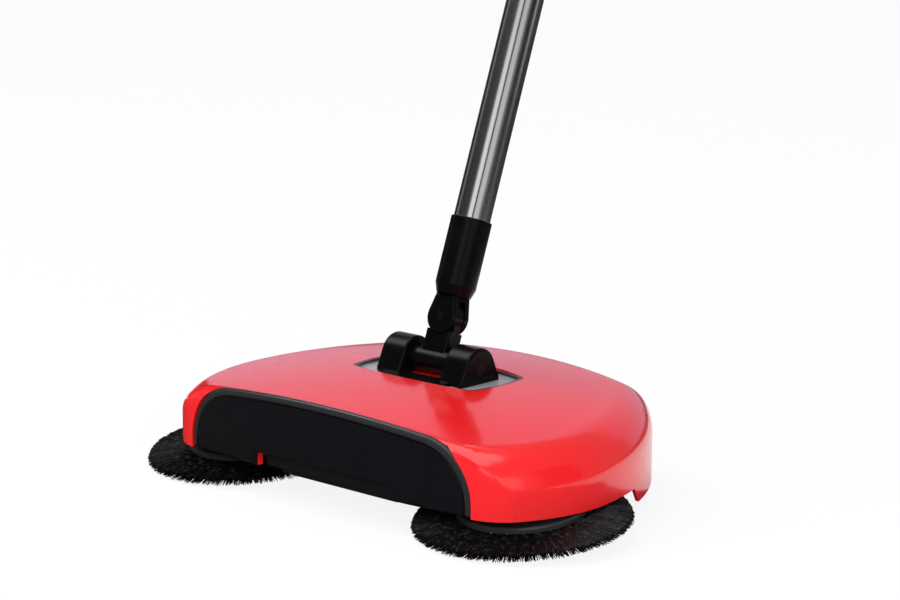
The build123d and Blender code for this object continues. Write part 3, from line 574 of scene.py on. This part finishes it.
def dark_card(name, stand, half_width, half_depth):
    """Dark felt card that shows only in reflections, as in a table-top studio."""
    card = flat_sheet(name, half_width, half_depth)
    card.data.transform(stand)
    felt = bpy.data.materials.new(name + "_felt")
    felt.use_nodes = True
    shader = felt.node_tree.nodes["Principled BSDF"]
    shader.inputs["Base Color"].default_value = (0.02, 0.02, 0.02, 1)
    shader.inputs["Roughness"].default_value = 1.0
    card.data.materials.append(felt)
    card.visible_camera = False
    card.visible_diffuse = False
    card.visible_shadow = False


def backdrop():
    """Pale backdrop behind the sweeper, for reflections in its top."""
    sheet = flat_sheet("backdrop", half_width=3.2, half_depth=1.1)
    facing = Matrix.Rotation(camera_turn, 4, "Z") @ upended
    sheet.data.transform(Matrix.Translation((-1.7, 1.9, 1.15)) @ facing)
    paper = bpy.data.materials.new("backdrop_paper")
    paper.use_nodes = True
    shader = paper.node_tree.nodes["Principled BSDF"]
    shader.inputs["Base Color"].default_value = (0.3, 0.3, 0.33, 1)
    shader.inputs["Emission Color"].default_value = (0.94, 0.74, 1, 1)
    shader.inputs["Emission Strength"].default_value = 0.36
    sheet.data.materials.append(paper)
    sheet.visible_camera = False
    sheet.visible_shadow = False


def studio_sky():
    """White surround for the camera, softer as a light."""
    world = bpy.data.worlds.new("studio")
    bpy.context.scene.world = world
    world.use_nodes = True
    tree = world.node_tree
    camera_ray = Wire(tree, tree.nodes.new("ShaderNodeLightPath").outputs["Is Camera Ray"])
    background = tree.nodes["Background"]
    background.inputs["Color"].default_value = (1, 1, 1, 1)
    strength = sky_light + (1 - sky_light) * camera_ray
    tree.links.new(strength.socket, background.inputs["Strength"])


def soft_sun(name, towards, power, spread):
    """Even light from far away, soft by its wide disc."""
    lamp = bpy.data.lights.new(name, "SUN")
    lamp.energy = power
    lamp.angle = math.radians(spread)
    lamp_object = bpy.data.objects.new(name, lamp)
    lamp_object.rotation_euler = Vector(towards).to_track_quat("-Z", "Y").to_euler()
    bpy.context.scene.collection.objects.link(lamp_object)


def soft_lamp(name, place, target, size, power, mirrored):
    """Square soft box aimed at a point, with or without its own reflection."""
    lamp = bpy.data.lights.new(name, "AREA")
    lamp.shape = "SQUARE"
    lamp.size = size
    lamp.energy = power
    lamp_object = bpy.data.objects.new(name, lamp)
    lamp_object.location = place
    lamp_object.visible_glossy = mirrored
    aim = Vector(target) - Vector(place)
    lamp_object.rotation_euler = aim.to_track_quat("-Z", "Y").to_euler()
    bpy.context.scene.collection.objects.link(lamp_object)


def photo_camera():
    """Camera at the photograph's viewing angle."""
    flat = math.cos(camera_rise)
    across, along = math.sin(camera_turn), math.cos(camera_turn)
    back = Vector((across * flat, -along * flat, math.sin(camera_rise)))
    level_right = Vector((along, across, 0))
    level_up = back.cross(level_right)
    right = math.cos(camera_roll) * level_right + math.sin(camera_roll) * level_up
    up = math.cos(camera_roll) * level_up - math.sin(camera_roll) * level_right
    lens = bpy.data.cameras.new("photo_camera")
    lens.sensor_width = camera_sensor
    lens.lens = camera_lens
    camera = bpy.data.objects.new("photo_camera", lens)
    stand = Vector((camera_x, hinge.y - camera_before_hinge, camera_height))
    facing = Matrix((right, up, back)).transposed().to_4x4()
    camera.matrix_world = Matrix.Translation(stand) @ facing
    bpy.context.scene.collection.objects.link(camera)
    bpy.context.scene.camera = camera


studio_floor()
dark_card("front_mat", Matrix.Translation((0, -2.03, mat_height)), half_width=4, half_depth=2)
dark_card("rear_mat", Matrix.Translation((0, 2.2, mat_height)), half_width=4, half_depth=1.8)
left_place = Matrix.Translation((-0.85, -1.5, 1.0))
dark_card("left_flag", left_place @ left_turn, half_width=1.2, half_depth=0.75)
left_edge_place = Matrix.Translation((-1.15, 0.15, 0.65))
dark_card("left_edge_flag", left_edge_place @ side_on, half_width=0.6, half_depth=0.4)
right_place = Matrix.Translation((1.5, 0.4, 0.65))
dark_card("right_flag", right_place @ side_on, half_width=0.6, half_depth=0.45)
backdrop()
studio_sky()
soft_sun("overhead", towards=(0.25, 0.3, -1.0), power=1.7, spread=70)
head_middle = (0, -0.1, 0.08)
head_right = (0.1, -0.1, 0.08)
joint_middle = (0, -0.1, 0.2)
tube_foot = (0, 0, 0.35)
soft_lamp("fill_box", (1.7, -1.1, 0.9), head_right, size=1.0, power=20, mirrored=False)
soft_lamp("front_box", (-0.9, -1.9, 0.8), head_middle, size=1.0, power=10, mirrored=False)
soft_lamp("side_box", (-1.5, -0.45, 1.6), joint_middle, size=0.9, power=7, mirrored=True)
soft_lamp("tube_box", (0.85, -1.9, 1.0), tube_foot, size=0.9, power=2.4, mirrored=True)
soft_lamp("right_box", (1.7, -0.93, 0.65), tube_foot, size=1.0, power=1.8, mirrored=True)
photo_camera()
bpy.context.scene.view_settings.view_transform = "Standard"
